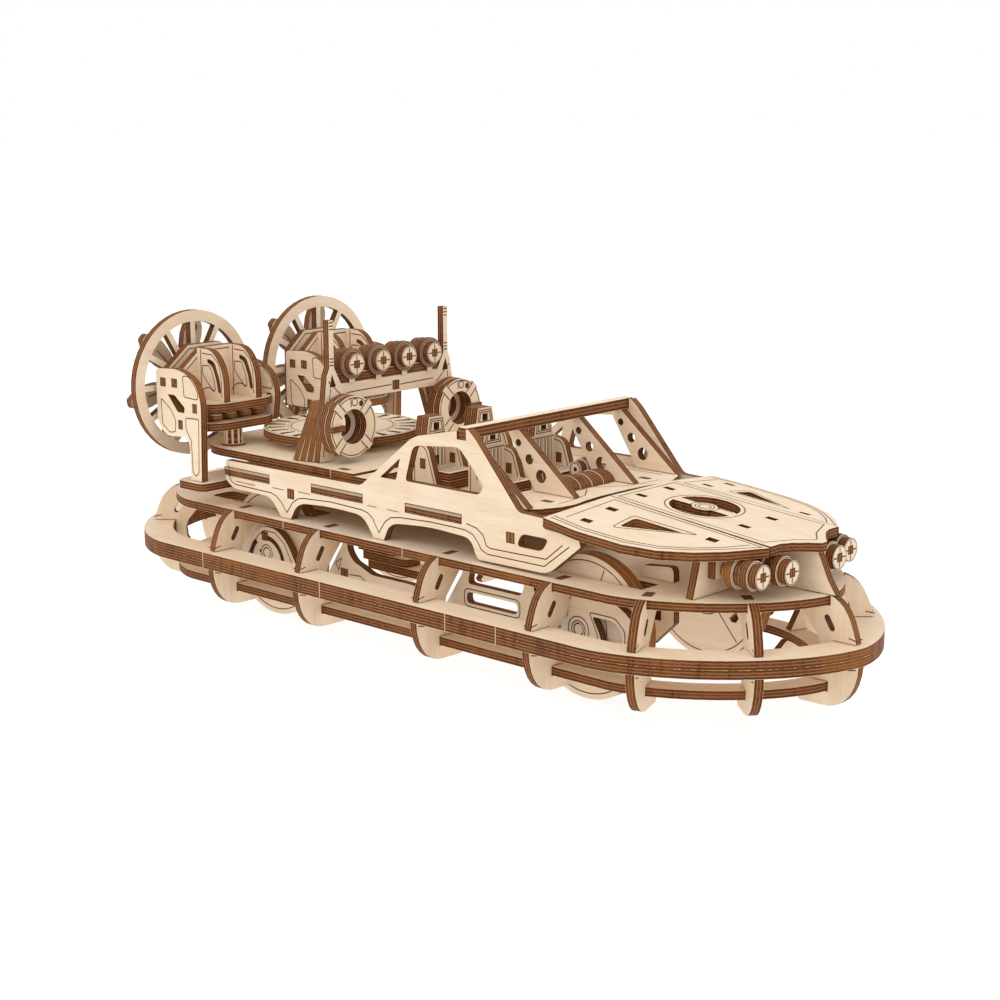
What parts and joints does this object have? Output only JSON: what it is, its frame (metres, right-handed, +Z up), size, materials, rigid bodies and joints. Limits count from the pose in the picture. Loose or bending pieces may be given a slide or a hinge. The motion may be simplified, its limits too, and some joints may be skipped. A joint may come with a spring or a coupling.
{
  "type": "plywood model hovercraft",
  "caption": "Laser-cut plywood model of a rescue hovercraft: ribbed ring hull, open cabin, lamp arch, ring-guarded tail propellers and hidden wheels.",
  "frame": {"origin": "bottom centre of the bounding box, on the floor under the wheels", "axes": "+X towards the bow, +Y to port, +Z up"},
  "size_m": [0.3784, 0.1404, 0.1313],
  "materials": {
    "ply_face": "matt bare birch plywood with burnt edges",
    "ply_wheels": "matt bare birch plywood with burnt edges"
  },
  "bodies": {
    "hull": {"middle_ring": "ply_face", "bottom_ring": "ply_face", "deck": "ply_face", "rib_1_starboard": "ply_face", "rib_1_port": "ply_face", "rib_2_starboard": "ply_face", "rib_2_port": "ply_face", "rib_3_starboard": "ply_face", "rib_3_port": "ply_face", "rib_4_starboard": "ply_face", "rib_4_port": "ply_face", "rib_5_starboard": "ply_face", "rib_5_port": "ply_face", "rib_6_starboard": "ply_face", "rib_6_port": "ply_face", "rib_stern_starboard": "ply_face", "rib_stern_port": "ply_face", "rib_nose": "ply_face", "rib_tail": "ply_face", "side_frame_starboard": "ply_face", "side_frame_port": "ply_face", "side_panel_starboard": "ply_face", "side_panel_port": "ply_face", "shelf": "ply_face", "rear_platform": "ply_face", "coaming": "ply_face", "roof_bar": "ply_face", "pillar_starboard": "ply_face", "pillar_port": "ply_face", "pillar_side_starboard": "ply_face", "pillar_side_port": "ply_face", "hood_middle": "ply_face", "hood_starboard": "ply_face", "hood_port": "ply_face", "bow_plate": "ply_face", "hood_cross_frame": "ply_face", "headlights_starboard": "ply_face", "headlights_port": "ply_face", "arch": "ply_face", "searchlights": "ply_face", "life_ring_starboard": "ply_face", "life_ring_port": "ply_face", "seat_front_starboard": "ply_face", "seat_front_port": "ply_face", "seat_rear_starboard": "ply_face", "seat_rear_port": "ply_face", "dashboard": "ply_face", "steering_wheel": "ply_face", "main_gear": "ply_face", "stern_plank": "ply_face", "nacelle_cheek_starboard": "ply_face", "nacelle_cheek_port": "ply_face", "nacelle_frame_starboard": "ply_face", "nacelle_frame_port": "ply_face", "fan_ring_starboard": "ply_face", "fan_ring_port": "ply_face"},
    "propeller_starboard": {"propeller_starboard": "ply_face"},
    "propeller_port": {"propeller_port": "ply_face"},
    "front_wheels": {"front_wheels": "ply_wheels"},
    "rear_wheels": {"rear_wheels": "ply_wheels"}
  },
  "joints": [
    {"name": "propeller_starboard_spin", "type": "hinge", "parent": "hull", "child": "propeller_starboard", "pos_m": [-0.1535, -0.0376, 0.0966], "axis": [1, 0, 0], "continuous": true},
    {"name": "propeller_port_spin", "type": "hinge", "parent": "hull", "child": "propeller_port", "pos_m": [-0.1535, 0.0376, 0.0966], "axis": [1, 0, 0], "continuous": true},
    {"name": "front_wheels_roll", "type": "hinge", "parent": "hull", "child": "front_wheels", "pos_m": [0.092, 0, 0.028], "axis": [0, 1, 0], "continuous": true},
    {"name": "rear_wheels_roll", "type": "hinge", "parent": "hull", "child": "rear_wheels", "pos_m": [-0.087, 0, 0.028], "axis": [0, 1, 0], "continuous": true}
  ]
}
